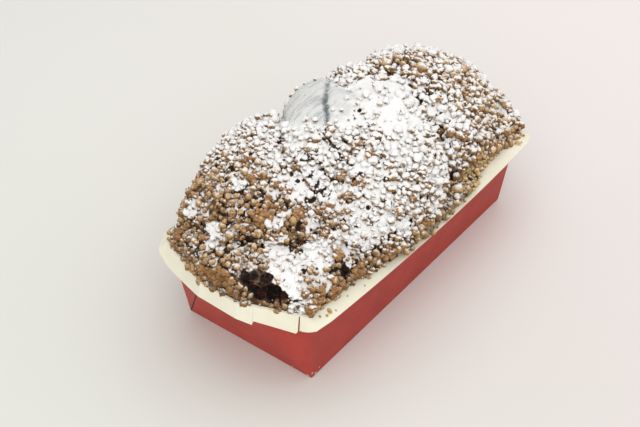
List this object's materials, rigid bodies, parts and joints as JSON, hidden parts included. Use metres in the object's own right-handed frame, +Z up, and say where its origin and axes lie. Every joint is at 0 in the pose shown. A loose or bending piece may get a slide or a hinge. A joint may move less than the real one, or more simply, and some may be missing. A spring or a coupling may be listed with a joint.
{
  "type": "babka loaf in paper tray",
  "caption": "Domed braided chocolate loaf with streusel crumbs and icing sugar, filling a folded paperboard loaf tray with turned-out rims.",
  "frame": {"origin": "middle of the tray's underside", "axes": "+X along the loaf towards its far end, -Y towards its front long side, +Z up"},
  "size_m": [0.2369, 0.118, 0.105],
  "materials": {
    "crust": "golden brown baked crumb, matte, dusted with icing sugar",
    "board": "uncoated paperboard, red outside and cream inside"
  },
  "bodies": {
    "root": {"loaf": "crust", "tray": "board"}
  },
  "joints": []
}
